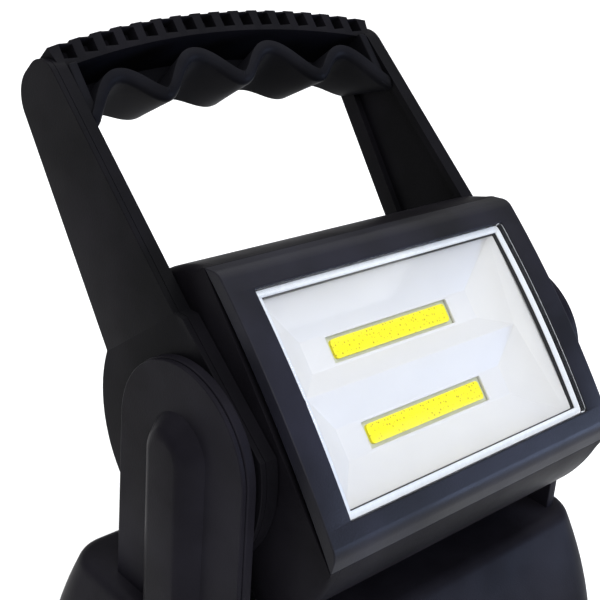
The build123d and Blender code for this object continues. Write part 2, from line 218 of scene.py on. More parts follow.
def cut_away(piece, cutter, operation="DIFFERENCE"):
    """Cuts one piece with another, or joins them, and throws the second away."""
    use_modifier(piece, "BOOLEAN", object=cutter, operation=operation, solver="EXACT")
    bpy.data.objects.remove(cutter)


def finish(piece, material, body, node):
    """Gives a modelled piece its material, its body and the CAD nodes it stands for."""
    piece.data.materials.clear()
    piece.data.materials.append(material)
    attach(piece, body)
    nodes = [node] if isinstance(node, str) else node
    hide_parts(*nodes)
    return piece


def plan_at(height):
    """Half width, front, rear and corner of the flared plan, on a curve through three heights."""
    a, b, c = pad_top, middle_height, deck_height
    weights = (
        (height - b) * (height - c) / ((a - b) * (a - c)),
        (height - a) * (height - c) / ((b - a) * (b - c)),
        (height - a) * (height - b) / ((c - a) * (c - b)),
    )
    plans = (plan_at_foot, plan_at_middle, plan_at_deck)
    return [sum(w * plan[i] for w, plan in zip(weights, plans)) for i in range(4)]


def round_plan(vertex, old, new):
    """Moves a vertex from one rounded rectangle to the same place on another."""
    middle = (old[1] + old[2]) / 2
    side_x = 1 if vertex.co.x > 0 else -1
    side_y = 1 if vertex.co.y > middle else -1
    corner = Vector((side_x * (old[0] - old[3]), middle + side_y * ((old[2] - old[1]) / 2 - old[3])))
    direction = (Vector(vertex.co.xy) - corner) / old[3]
    new_corner_x = side_x * (new[0] - new[3])
    new_corner_y = (new[1] + new[2]) / 2 + side_y * ((new[2] - new[1]) / 2 - new[3])
    vertex.co.x = new_corner_x + direction.x * new[3]
    vertex.co.y = new_corner_y + direction.y * new[3]


def rounded_slab(name, plan, bottom, top, levels=1, corner_steps=12):
    """Upright block with a rounded plan, in a number of levels; it stays open for shaping."""
    half_x, front, rear, corner = plan
    clear_selection()
    bpy.ops.mesh.primitive_plane_add(size=1, location=(0, (front + rear) / 2, bottom))
    bpy.context.object.scale = (2 * half_x, rear - front, 1)
    piece = shape(name)
    bpy.ops.mesh.bevel(offset=corner, affect="VERTICES", segments=corner_steps, clamp_overlap=False)
    for level in range(levels):
        bpy.ops.mesh.select_mode(type="FACE")
        if level == 0:
            bpy.ops.mesh.select_all(action="SELECT")
        push(z=(top - bottom) / levels)
    return piece


# moulded ABS: near black with a faint violet cast, its gloss broken up by the grain
housing_abs = grained_plastic("textured_black_abs", "#0f0e12", "#1a191e", 0.47)
levels = 12
base = rounded_slab("base_housing", plan_at_foot, pad_top, deck_height, levels)
mesh = bmesh.from_edit_mesh(base.data)
for vertex in mesh.verts:
    round_plan(vertex, plan_at_foot, plan_at(vertex.co.z))
bmesh.update_edit_mesh(base.data)
pick("EDGE", lambda e: all(v.co.z > deck_height - 0.1 * mm for v in e.verts))
bpy.ops.mesh.bevel(offset=deck_edge, segments=5, affect="EDGES")
pick("EDGE", lambda e: all(v.co.z < pad_top + 0.1 * mm for v in e.verts))
bpy.ops.mesh.bevel(offset=foot_edge, segments=2, affect="EDGES")
close_up()
# charging port in the rear wall, with a shallow frame round its mouth
port_wall = plan_at(port_height)[2]
for size_x, size_z, depth in port_cuts:
    clear_selection()
    bpy.ops.mesh.primitive_cube_add(size=1, location=(0, port_wall, port_height))
    bpy.context.object.scale = (size_x, 2 * depth, size_z)
    mouth = shape("port_cutter")
    pick("EDGE", lambda e: abs(e.verts[0].co.y - e.verts[1].co.y) > depth)
    bpy.ops.mesh.bevel(offset=size_z * 0.42, segments=5, affect="EDGES")
    close_up()
    cut_away(base, mouth)
finish(base, housing_abs, "base", "base_shell")

# ---------------------------------------------------------------------------
# Foot pad: a moulded sheet of black nitrile rubber glued under the base plate. Its
# middle is sunk a little, which leaves a flat rim that grips a smooth bonnet.
# ---------------------------------------------------------------------------
pad_plan = (65.0 * mm, -40.5 * mm, 49.0 * mm, 13.5 * mm)
pad_rim = 5.0 * mm
pad_step = 0.8 * mm
pad_sink = 0.5 * mm

# nitrile rubber: matt, with a coarser and deeper grain than the ABS
rubber = grained_plastic("black_nitrile_rubber", "#101011", "#1a1a1b", 0.74, grain=0.8, depth=0.05)
pad = rounded_slab("rubber_foot_pad", pad_plan, 0.0, pad_top)
pick("EDGE", lambda e: all(v.co.z < 0.1 * mm for v in e.verts))
bpy.ops.mesh.bevel(offset=foot_edge, segments=3, affect="EDGES")
pick("FACE", lambda f: f.normal.z < -0.9 and f.calc_area() > 0.001)
bpy.ops.mesh.inset(thickness=pad_rim)
bpy.ops.mesh.inset(thickness=pad_step, depth=-pad_sink)
close_up()
finish(pad, rubber, "base", "foot_pad")

# ---------------------------------------------------------------------------
# Arms: two upright moulded cheeks that stand in slots in the base and carry the
# cross axis. Each is a thin inner plate with a cover snapped over it; the cover
# has a raised, round-topped strap down its middle with sloping flanks.
# ---------------------------------------------------------------------------
axis_height = 86.0 * mm
arm_inner = 52.7 * mm
arm_outer = 56.2 * mm
cover_thickness = 1.2 * mm
arm_radius = 21.8 * mm
arm_draft = 0.017
top_flattening = 0.958
arm_foot = deck_height - 9.0 * mm
cover_foot = deck_height - 0.5 * mm
strap_height = 4.8 * mm
strap_top_half = 5.8 * mm
strap_foot_half = 9.8 * mm
strap_edge = 1.7 * mm
# how far the strap is sunk into the cover, and the cover's rim set back from the arm's
strap_bite = 0.4 * mm
rim_setback = 0.35 * mm


def round_topped(name, x, half, foot, thickness, draft=0.0, flatten=1.0, steps=96):
    """Plate across X with a round top about the cross axis and straight, drafted sides."""
    clear_selection()
    bpy.ops.mesh.primitive_circle_add(
        vertices=steps,
        radius=half,
        fill_type="NGON",
        location=(x, 0, axis_height),
        rotation=(0, pi / 2, 0),
    )
    piece = shape(name)
    bpy.ops.mesh.bisect(
        plane_co=(x, 0, axis_height), plane_no=(0, 0, 1), clear_inner=True, threshold=1e-6
    )
    mesh = bmesh.from_edit_mesh(piece.data)
    for vertex in mesh.verts:
        vertex.co.z = axis_height + (vertex.co.z - axis_height) * flatten
    bmesh.update_edit_mesh(piece.data)
    pick("EDGE", lambda e: all(abs(v.co.z - axis_height) < 0.01 * mm for v in e.verts))
    drop = axis_height - foot
    push(z=-drop)
    bpy.ops.transform.resize(value=(1, 1 + draft * drop / half, 1))
    bpy.ops.mesh.select_mode(type="FACE")
    bpy.ops.mesh.select_all(action="SELECT")
    push(x=thickness)
    return piece


def mirrored_twin(piece, name):
    """The right-hand piece: the left one's own copy, turned over across the middle plane."""
    twin = piece.copy()
    twin.data = piece.data.copy()
    twin.name = name
    twin.data.name = name
    twin.parent = None
    bpy.context.scene.collection.objects.link(twin)
    clear_selection()
    twin.select_set(True)
    bpy.context.view_layer.objects.active = twin
    bpy.ops.object.mode_set(mode="EDIT")
    bpy.ops.mesh.select_all(action="SELECT")
    bpy.ops.transform.mirror(constraint_axis=(True, False, False), center_override=(0, 0, 0))
    close_up()
    return twin


# moulded ABS again, a little glossier than the housing's
arm_abs = grained_plastic("textured_black_abs_arms", "#0f0e12", "#1a191f", 0.42)
arm = round_topped(
    "arm_plate_left",
    -arm_inner,
    arm_radius,
    arm_foot,
    cover_thickness - (arm_outer - arm_inner),
    arm_draft,
    top_flattening,
)
close_up()
soften(arm, 0.3 * mm)
cover = round_topped(
    "arm_shell_left",
    -arm_outer + cover_thickness,
    arm_radius - rim_setback,
    cover_foot,
    -cover_thickness,
    arm_draft,
    top_flattening,
)
close_up()
strap = round_topped("strap", -arm_outer + strap_bite, strap_foot_half, cover_foot, -strap_bite)
# the strap's outer face is drawn out and narrowed, so that its flanks slope
pick("FACE", lambda f: f.normal.x < -0.9)
push(x=-strap_height)


def on_strap_top(vertex):
    return vertex.co.x < -arm_outer - strap_height * 0.5


pick("VERT", on_strap_top)
mesh = bmesh.from_edit_mesh(strap.data)
ratio = strap_top_half / strap_foot_half
for vertex in mesh.verts:
    if vertex.select:
        vertex.co.y *= ratio
        rise = vertex.co.z - axis_height
        vertex.co.z = axis_height + rise * ratio if rise > 0 else vertex.co.z
bmesh.update_edit_mesh(strap.data)
pick("EDGE", lambda e: all(on_strap_top(v) for v in e.verts) and e.calc_face_angle(0) > 0.3)
bpy.ops.mesh.bevel(offset=strap_edge, segments=6, affect="EDGES")
close_up()
cut_away(cover, strap, "UNION")
soften(cover, 0.55 * mm, 3, 28)
finish(arm, arm_abs, "base", "arm_left")
finish(cover, arm_abs, "base", "arm_cover_left")
finish(mirrored_twin(arm, "arm_plate_right"), arm_abs, "base", "arm_right")
finish(mirrored_twin(cover, "arm_shell_right"), arm_abs, "base", "arm_cover_right")

# ---------------------------------------------------------------------------
# Carry handle: one moulded frame of two flat legs under a ribbed arch. Each leg
# ends in a round heel on the cross axis and is hollowed on its inner face; the
# hand side of the arch has a row of pockets that keep the moulding thin.
# ---------------------------------------------------------------------------
handle_lean = radians(43.4)
leg_inner = 47.5 * mm
leg_outer = 51.8 * mm
leg_cover_thickness = 1.4 * mm
heel_radius = 29.1 * mm
heel_behind = 5.6 * mm
heel_above = 4.0 * mm
leg_top = 95.5 * mm
leg_front = 16.2 * mm
leg_rear = 22.1 * mm
leg_taper = 0.113
leg_corner = 6.5 * mm
# the heel's flat front: its place at the axis, and how far it leans
heel_flat = 18.6 * mm
heel_flat_lean = 0.15
# where the blade starts: y and height above the axis in front, and the height behind
blade_start_front = (-13.2 * mm, 26.5 * mm)
blade_start_rear = 30.0 * mm
# the leg's hollow: its two ends above the axis, its walls, its floor and its corners
hollow_low = 37.0 * mm
hollow_high = 92.0 * mm
hollow_front_wall = 2.2 * mm
hollow_rear_wall = 5.0 * mm
hollow_floor = 1.0 * mm
hollow_corner = 2.0 * mm
arch_radius = 210.0 * mm
arch_top = 101.5 * mm
# height above the axis at which the arch takes its front and rear from the legs
arch_edge_height = 96.0 * mm
beam_depth = 5.8 * mm
pocket_count = 16
pocket_pitch = 6.05 * mm
pocket_half = 1.75 * mm
pocket_height = 4.3 * mm
pocket_roof = 0.75 * mm
pocket_depth = 3.6 * mm
# the shallow dip over each pocket
dip_half = pocket_half * 0.8
dip_depth = 0.35 * mm
dip_reach = 2.5 * mm


def leg_edge(height):
    """Front and rear of a leg at a height above the axis."""
    return -(leg_front - leg_taper * height), leg_rear - leg_taper * height


def arch_at(x, top):
    """Height above the axis of an arch that peaks at the given height."""
    return top - arch_radius + sqrt(arch_radius**2 - x * x)


def turn_about_axis(piece, angle):
    """Leans an upright piece back about the cross axis."""
    lift = Matrix.Translation((0, 0, axis_height))
    piece.data.transform(lift @ Matrix.Rotation(-angle, 4, "X") @ lift.inverted())
    return piece


def box_at(name, low, high):
    """Block between two corners, open for shaping."""
    clear_selection()
    bpy.ops.mesh.primitive_cube_add(size=1, location=[(a + b) / 2 for a, b in zip(low, high)])
    bpy.context.object.scale = [b - a for a, b in zip(low, high)]
    return shape(name)


def leg_blank(name, x, thickness):
    """Leg outline, a blade on a round heel, pushed out to its thickness."""
    clear_selection()
    bpy.ops.mesh.primitive_circle_add(
        vertices=120,
        radius=heel_radius,
        fill_type="NGON",
        location=(x, heel_behind, axis_height + heel_above),
        rotation=(0, pi / 2, 0),
    )
    piece = shape(name)
    # the heel's front is flattened along the leg, then its top is cut where the blade starts
    bpy.ops.mesh.bisect(
        plane_co=(x, -heel_flat, axis_height),
        plane_no=(0, -1, heel_flat_lean),
        clear_outer=True,
        threshold=1e-6,
    )
    bpy.ops.mesh.select_all(action="SELECT")
    front_low = blade_start_front
    rear_low = (leg_edge(blade_start_rear)[1], blade_start_rear)
    slope = (rear_low[1] - front_low[1]) / (rear_low[0] - front_low[0])
    bpy.ops.mesh.bisect(
        plane_co=(x, rear_low[0], axis_height + rear_low[1]),
        plane_no=(0, -slope, 1),
        clear_outer=True,
        threshold=1e-6,
    )

    def on_cut(vertex):
        height = rear_low[1] + slope * (vertex.co.y - rear_low[0])
        return abs(vertex.co.z - axis_height - height) < 0.02 * mm

    pick("EDGE", lambda e: all(on_cut(v) for v in e.verts))
    push(z=leg_top - blade_start_rear)
    mesh = bmesh.from_edit_mesh(piece.data)
    front_top, rear_top = leg_edge(leg_top)
    for vertex in mesh.verts:
        if vertex.select:
            vertex.co.y = front_top if vertex.co.y < 0 else rear_top
            vertex.co.z = axis_height + leg_top
    bmesh.update_edit_mesh(piece.data)
    bpy.ops.mesh.select_mode(type="VERT")
    pick("VERT", lambda v: v.co.z > axis_height + leg_top - 0.1 * mm)
    bpy.ops.mesh.bevel(offset=leg_corner, affect="VERTICES", segments=10)
    bpy.ops.mesh.select_mode(type="FACE")
    bpy.ops.mesh.select_all(action="SELECT")
    push(x=thickness)
    return piece


# moulded nylon: darker than the housing, with the same fine grain
handle_abs = grained_plastic("textured_black_nylon_handle", "#0a0a0c", "#121115", 0.45)
cover_plane = leg_outer - leg_cover_thickness
arch_front, arch_rear = leg_edge(arch_edge_height)
handle = leg_blank("handle_frame_moulding", -leg_inner, leg_inner - cover_plane)
close_up()
web = box_at("web_cutter", (-cover_plane + hollow_floor, -1, 0), (-leg_inner + 1 * mm, 1, 1))
mesh = bmesh.from_edit_mesh(web.data)
for vertex in mesh.verts:
    height = hollow_high if vertex.co.z > 0.5 else hollow_low
    edge_front, edge_rear = leg_edge(height)
    vertex.co.y = edge_front + hollow_front_wall if vertex.co.y < 0 else edge_rear - hollow_rear_wall
    vertex.co.z = axis_height + height
bmesh.update_edit_mesh(web.data)
pick("EDGE", lambda e: abs(e.verts[0].co.x - e.verts[1].co.x) > 1 * mm)
bpy.ops.mesh.bevel(offset=hollow_corner, segments=4, affect="EDGES")
close_up()
cut_away(handle, web)
right_leg = mirrored_twin(handle, "right_leg")
# the arch is one rectangle swept about the arch's centre
clear_selection()
bpy.ops.mesh.primitive_plane_add(
    size=1,
    location=(0, (arch_front + arch_rear) / 2, axis_height + arch_top - beam_depth / 2),
    rotation=(0, pi / 2, 0),
)
bpy.context.object.scale = (beam_depth, arch_rear - arch_front, 1)
beam = shape("arch")
arch_centre = (0, 0, axis_height + arch_top - arch_radius)
arch_half_angle = asin((cover_plane - 0.1 * mm) / arch_radius)
bpy.ops.object.mode_set(mode="OBJECT")
lift = Matrix.Translation(arch_centre)
beam.data.transform(lift @ Matrix.Rotation(arch_half_angle, 4, "Y") @ lift.inverted())
bpy.ops.object.mode_set(mode="EDIT")
bpy.ops.mesh.select_all(action="SELECT")
bpy.ops.mesh.spin(steps=64, angle=2 * arch_half_angle, center=arch_centre, axis=(0, 1, 0))
close_up()
for step in range(pocket_count):
    x = (step - (pocket_count - 1) / 2) * pocket_pitch
    crown = axis_height + arch_at(x, arch_top)
    pocket = box_at(
        "pocket_cutter",
        (x - pocket_half, arch_front - 1 * mm, crown - pocket_height),
        (x + pocket_half, arch_front + pocket_depth, crown - pocket_roof),
    )
    close_up()
    cut_away(beam, pocket)
    dip = box_at(
        "dip_cutter",
        (x - dip_half, arch_front - 1 * mm, crown - dip_depth),
        (x + dip_half, arch_front + dip_reach, crown + 2 * mm),
    )
    close_up()
    cut_away(beam, dip)
cut_away(handle, beam, "UNION")
cut_away(handle, right_leg, "UNION")
soften(handle, 0.4 * mm, 3, 40)
turn_about_axis(handle, handle_lean)
finish(handle, handle_abs, "handle", "handle_frame")

# ---------------------------------------------------------------------------
# Leg covers: flat nylon plates, 1.4 mm thick, that close the outside of each leg
# and are drawn down by short screws from within. Their rounded rims leave the
# fine groove that runs down beside the leg's front edge.
# ---------------------------------------------------------------------------
cover_gap = 0.02 * mm
leg_cover = leg_blank("leg_plate_left", -cover_plane - cover_gap, -leg_cover_thickness + cover_gap)
close_up()
soften(leg_cover, 0.55 * mm, 4, 40)
turn_about_axis(leg_cover, handle_lean)
finish(leg_cover, handle_abs, "handle", "leg_cover_left")
finish(mirrored_twin(leg_cover, "leg_plate_right"), handle_abs, "handle", "leg_cover_right")

# ---------------------------------------------------------------------------
# Finger grip: a softer moulding clipped under the arch, with hollows for four
# fingers. Its wavy lip is rounded at the front, most of all below, and it stays
# open above as a long pocket, closed by a rear wall and a rim at each end.
# ---------------------------------------------------------------------------
finger_pitch = 24.0 * mm
grip_half = 47.2 * mm
grip_wall = 3.2 * mm
rim_thickness = 2.4 * mm
rim_edge = 0.7 * mm
rear_wall_thickness = 2.4 * mm
rear_wall_inset = 1.3 * mm
# roundings of the lip's lower and upper front corner
lip_round = 2.3 * mm
lip_edge = 0.6 * mm
# how far the rims and the wall run into the moulding below and the arch above
bite_below = 0.6 * mm
bite_above = 0.2 * mm
# the underside's mean height above the axis, the rise of its wave and its sag
front_wave = (84.6 * mm, 4.4 * mm, 3.333)
rear_wave = (85.8 * mm, 1.9 * mm, 1.111)
grip_front = leg_edge(88 * mm)[0]
grip_rear = leg_edge(90 * mm)[1]


def wave_height(x, mean, rise, sag):
    """Underside of the grip above the axis: four finger hollows on a shallow arch."""
    return mean - x * x * sag + rise * cos(2 * pi * (abs(x) - finger_pitch / 2) / finger_pitch)


def underside(x, y):
    """The wave fades from the deep one at the front to the shallow one at the rear."""
    share = (y - grip_front) / (grip_rear - grip_front)
    share = min(max(share, 0.0), 1.0)
    return axis_height + (1 - share) * wave_height(x, *front_wave) + share * wave_height(x, *rear_wave)


def wall_point(co):
    """Place of a rim or wall vertex, from 0 at the grip's underside to 1 at the arch."""
    low = underside(co.x, co.y) + bite_below
    high = axis_height + arch_at(co.x, arch_top - beam_depth) + bite_above
    return Vector((co.x, co.y, (1 - co.z) * low + co.z * high))


def move_vertices(piece, place):
    """Sets each vertex of an open piece by a rule."""
    mesh = bmesh.from_edit_mesh(piece.data)
    for vertex in mesh.verts:
        vertex.co = place(vertex.co)
    bmesh.update_edit_mesh(piece.data)


# a softer moulding: a little duller, with a finer and shallower grain
grip_nylon = grained_plastic("soft_black_grip_moulding", "#0b0b0e", "#17171b", 0.5, grain=0.4, depth=0.025)
clear_selection()
bpy.ops.mesh.primitive_grid_add(
    x_subdivisions=144, y_subdivisions=10, size=1, location=(0, (grip_front + grip_rear) / 2, 0)
)
bpy.context.object.scale = (2 * grip_half, grip_rear - grip_front, 1)
grip = shape("finger_grip_moulding")
move_vertices(grip, lambda co: Vector((co.x, co.y, underside(co.x, co.y))))
close_up()
use_modifier(grip, "SOLIDIFY", thickness=grip_wall, offset=1.0, use_even_offset=False)
bpy.ops.object.mode_set(mode="EDIT")


def on_front_edge(edge, upper):
    """Whether an edge is on the lip's upper or lower front corner."""
    middle = (edge.verts[0].co + edge.verts[1].co) / 2
    high = middle.z - underside(middle.x, middle.y) > grip_wall * 0.3
    front = all(v.co.y < grip_front + 1.6 * mm for v in edge.verts)
    across = abs(edge.verts[0].co.x - edge.verts[1].co.x) > 0.2 * mm
    return front and across and high == upper and edge.calc_face_angle(0) > radians(50)


pick("EDGE", lambda e: on_front_edge(e, False))
bpy.ops.mesh.bevel(offset=lip_round, segments=7, affect="EDGES", clamp_overlap=True)
pick("EDGE", lambda e: on_front_edge(e, True))
bpy.ops.mesh.bevel(offset=lip_edge, segments=3, affect="EDGES", clamp_overlap=True)
close_up(50)
pieces_to_join = [grip]
for side in (-1, 1):
    x_in, x_out = sorted((side * (grip_half - rim_thickness), side * grip_half))
    rim = box_at("grip_rim", (x_in, grip_front + 0.1 * mm, 0), (x_out, grip_rear - 0.1 * mm, 1))
    bpy.ops.mesh.subdivide(number_cuts=6)
    move_vertices(rim, wall_point)
    close_up()
    soften(rim, rim_edge, 4, 40)
    pieces_to_join.append(rim)
clear_selection()
bpy.ops.mesh.primitive_grid_add(
    x_subdivisions=60,
    y_subdivisions=4,
    size=1,
    location=(0, grip_rear - 0.1 * mm, 0.5),
    rotation=(pi / 2, 0, 0),
)
bpy.context.object.scale = (2 * grip_half - 1 * mm, 1, 1)
wall = shape("grip_rear_wall")
move_vertices(wall, wall_point)
close_up()
use_modifier(wall, "SOLIDIFY", thickness=rear_wall_thickness, offset=0.0)
wall.data.transform(Matrix.Translation((0, -rear_wall_inset, 0)))
pieces_to_join.append(wall)
clear_selection()
for part in pieces_to_join:
    part.select_set(True)
bpy.context.view_layer.objects.active = grip
bpy.ops.object.join()
bpy.ops.object.shade_smooth_by_angle(angle=radians(40))
clear_selection()
grip.select_set(True)
bpy.context.view_layer.objects.active = grip
bpy.ops.object.mode_set(mode="EDIT")
move_vertices(grip, lambda co: Vector((min(max(co.x, -grip_half), grip_half), co.y, co.z)))
bpy.ops.object.mode_set(mode="OBJECT")
turn_about_axis(grip, handle_lean)
finish(grip, grip_nylon, "handle", "finger_grip")

# ---------------------------------------------------------------------------
# Bezel: the moulded front frame of the lamp head. Its face is gently bowed from
# top to bottom, its long edges roll over into the drum, and the lens lies in a
# rebate round the window.
# ---------------------------------------------------------------------------
head_lean = radians(41.6)
head_radius = 39.6 * mm
head_drop = 0.9 * mm
head_half = 46.8 * mm
cap_thickness = 2.8 * mm
face_offset = 26.6 * mm
bow_radius = 277.0 * mm
bezel_thickness = 3.4 * mm
window_half_x = 40.0 * mm
window_half_z = 25.7 * mm
window_corner = 1.2 * mm
rebate_corner = 1.5 * mm
bezel_edge = 1.7 * mm
lens_ledge = 1.8 * mm
lens_thickness = 1.6 * mm
# how much deeper the rebate is than the lens, for the seal
seal_room = 0.4 * mm
drum_z = axis_height - head_drop
bow_centre = Vector((0, bow_radius - face_offset, drum_z))


def bowed_slab(name, half_x, outer, inner, half_z, steps=24):
    """Slab that follows the bowed face between two depths below it; open for shaping."""
    clear_selection()
    bpy.ops.mesh.primitive_plane_add(size=1, location=(0, -face_offset + (outer + inner) / 2, drum_z))
    bpy.context.object.scale = (2 * half_x, inner - outer, 1)
    piece = shape(name)
    half_angle = asin(half_z / (bow_radius - outer))
    bpy.ops.object.mode_set(mode="OBJECT")
    lift = Matrix.Translation(bow_centre)
    piece.data.transform(lift @ Matrix.Rotation(half_angle, 4, "X") @ lift.inverted())
    bpy.ops.object.mode_set(mode="EDIT")
    bpy.ops.mesh.select_all(action="SELECT")
    bpy.ops.mesh.spin(steps=steps, angle=2 * half_angle, center=bow_centre, axis=(1, 0, 0))
    return piece


def round_corners(half_x, half_z, radius, steps=5):
    """Rounds the four corners of an open slab as seen from the front."""

    def at_corner(vertex):
        return abs(vertex.co.x) > half_x - 0.01 * mm and abs(vertex.co.z - drum_z) > half_z - 0.35 * mm

    def is_corner_edge(edge):
        start, end = edge.verts
        return at_corner(start) and at_corner(end) and abs(start.co.y - end.co.y) > 0.2 * mm

    pick("EDGE", is_corner_edge)
    bpy.ops.mesh.bevel(offset=radius, segments=steps, affect="EDGES")


def into_head(piece, material, body, node):
    turn_about_axis(piece, head_lean)
    return finish(piece, material, body, node)


# the bezel's ABS shows more sheen than the rest; its colour is also drawn lighter and bluer, a painted cool
# sheen
bezel_abs = grained_plastic("textured_black_abs_bezel", "#121216", "#1d1d25", 0.4, shine=0.08)
# where the bezel's face ends, and where its back meets the drum: y, then z from the drum's middle
front_corner_z = 30.81 * mm
rear_corner = (-21.14 * mm, 33.49 * mm)
bezel = bowed_slab("lamp_bezel", head_half, 0.0, bezel_thickness, front_corner_z, 36)
mesh = bmesh.from_edit_mesh(bezel.data)
for vertex in mesh.verts:
    off = vertex.co - bow_centre
    deep = Vector((off.y, off.z)).length < bow_radius - bezel_thickness / 2
    if deep and abs(off.z) > front_corner_z - 0.6 * mm:
        vertex.co.y = rear_corner[0]
        vertex.co.z = drum_z + rear_corner[1] * (1 if off.z > 0 else -1)
bmesh.update_edit_mesh(bezel.data)


def on_long_edge(vertex):
    """Whether a vertex is on the bezel's upper or lower front edge."""
    return abs(vertex.co.z - drum_z) > front_corner_z - 0.1 * mm and vertex.co.y < -24 * mm


pick("EDGE", lambda e: all(on_long_edge(v) for v in e.verts))
bpy.ops.mesh.bevel(offset=bezel_edge, segments=5, affect="EDGES")
close_up()
hole = bowed_slab("window_cutter", window_half_x - lens_ledge, -3 * mm, 6 * mm, window_half_z - lens_ledge)
round_corners(window_half_x - lens_ledge, window_half_z - lens_ledge, window_corner)
close_up()
cut_away(bezel, hole)
rebate = bowed_slab("rebate_cutter", window_half_x, -3 * mm, lens_thickness + seal_room, window_half_z)
round_corners(window_half_x, window_half_z, rebate_corner)
close_up()
cut_away(bezel, rebate)
soften(bezel, 0.4 * mm, 3, 40)
into_head(bezel, bezel_abs, "head", "bezel")

# ---------------------------------------------------------------------------
# Lens and its seal: a clear moulded acrylic pane that lies flush in the bezel, on
# a thin ring of white silicone. The ring shows through the pane as a bright rim,
# and the pane's own polished edge catches the light.
# ---------------------------------------------------------------------------
lens_gap = 0.15 * mm
lens_sink = 0.05 * mm
lens_corner = 1.4 * mm
seal_gap = 0.2 * mm
seal_corner = 1.3 * mm
seal_inset = 1.9 * mm
seal_inner_corner = 1.1 * mm
# the seal's front and back, as depths below the bezel's face
seal_front = lens_thickness + 0.06 * mm
seal_back = lens_thickness + 0.36 * mm

# moulded acrylic: colourless, with a faint gloss that grows at a grazing look
clear_acrylic, output, _ = new_material("clear_acrylic_pane")
see_through = add_node(clear_acrylic, "ShaderNodeBsdfTransparent")
see_through.inputs["Color"].default_value = linear("#fbfcfd")
gloss = add_node(clear_acrylic, "ShaderNodeBsdfGlossy", Roughness=0.06)
gloss.inputs["Color"].default_value = linear("#ffffff")
grazing = add_node(clear_acrylic, "ShaderNodeFresnel", IOR=1.2)
pane = add_node(
    clear_acrylic,
    "ShaderNodeMixShader",
    links={0: grazing.outputs[0], 1: see_through.outputs[0], 2: gloss.outputs[0]},
)
clear_acrylic.node_tree.links.new(pane.outputs[0], output.inputs["Surface"])

lens = bowed_slab("lens_pane", window_half_x - lens_gap, lens_sink, lens_thickness, window_half_z - lens_gap)
round_corners(window_half_x - lens_gap, window_half_z - lens_gap, lens_corner)
close_up()
soften(lens, 0.2 * mm, 2, 40)
into_head(lens, clear_acrylic, "head", "lens")

# moulded silicone: chalky white with a low gloss
white_silicone, output, place = new_material("white_silicone_seal")
chalk = add_node(white_silicone, "ShaderNodeTexNoise", links={"Vector": place}, Scale=900.0, Detail=3.0)
chalk_tone = add_node(white_silicone, "ShaderNodeValToRGB", links={"Fac": chalk.outputs["Fac"]})
chalk_tone.color_ramp.elements[0].color = linear("#d9dbe0")
chalk_tone.color_ramp.elements[1].color = linear("#eef0f4")
rubbery = add_node(
    white_silicone,
    "ShaderNodeBsdfPrincipled",
    links={"Base Color": chalk_tone.outputs["Color"]},
    Roughness=0.55,
)
white_silicone.node_tree.links.new(rubbery.outputs["BSDF"], output.inputs["Surface"])
seal = bowed_slab(
    "lens_seal_ring", window_half_x - seal_gap, seal_front, seal_back, window_half_z - seal_gap
)
round_corners(window_half_x - seal_gap, window_half_z - seal_gap, seal_corner)
close_up()
inner_edge = bowed_slab("seal_cutter", window_half_x - seal_inset, 0, 6 * mm, window_half_z - seal_inset)
round_corners(window_half_x - seal_inset, window_half_z - seal_inset, seal_inner_corner)
close_up()
cut_away(seal, inner_edge)
into_head(seal, white_silicone, "head", "lens_seal")

# ---------------------------------------------------------------------------
# Reflector: a gloss white polycarbonate tray behind the lens. Two hipped troughs
# meet in a low ridge; each has a flat floor with a slot for one light strip.
# ---------------------------------------------------------------------------
tray_rim_y = -23.0 * mm
tray_mouth_y = -21.4 * mm
ridge_y = -20.2 * mm
trough_floor_y = -16.2 * mm
tray_half_x = 38.7 * mm
tray_half_z = 24.3 * mm
mouth_half_x = 37.4 * mm
ridge_z = 0.9 * mm
ridge_half_x = 34.6 * mm
floor_half_x = 27.4 * mm
# low and high edge of each trough's floor, and the middle of its light strip
trough_rows = ((5.8 * mm, 13.3 * mm, 9.6 * mm), (-14.5 * mm, -7.0 * mm, -10.7 * mm))
slot_half_x = 20.0 * mm
slot_half_z = 3.1 * mm
slot_depth = 0.9 * mm
tray_wall = 0.7 * mm
smallest_trough_face = 500 * mm * mm

# moulded polycarbonate: milk white, with a gloss that a faint orange peel breaks up
gloss_white, output, place = new_material("gloss_white_polycarbonate")
milk = add_node(gloss_white, "ShaderNodeTexNoise", links={"Vector": place}, Scale=60.0, Detail=4.0)
milk_tone = add_node(gloss_white, "ShaderNodeValToRGB", links={"Fac": milk.outputs["Fac"]})
milk_tone.color_ramp.elements[0].color = linear("#cbc9c9")
milk_tone.color_ramp.elements[1].color = linear("#d9d7d6")
orange_peel = add_node(gloss_white, "ShaderNodeTexNoise", links={"Vector": place}, Scale=420.0, Detail=2.0)
peel_bump = add_node(
    gloss_white,
    "ShaderNodeBump",
    links={"Height": orange_peel.outputs["Fac"]},
    Strength=0.12,
    Distance=0.05 * mm,
)
tray_surface = add_node(
    gloss_white,
    "ShaderNodeBsdfPrincipled",
    links={"Base Color": milk_tone.outputs["Color"], "Normal": peel_bump.outputs["Normal"]},
    Roughness=0.38,
    IOR=1.5,
    Specular_IOR_Level=0.3,
)
gloss_white.node_tree.links.new(tray_surface.outputs["BSDF"], output.inputs["Surface"])

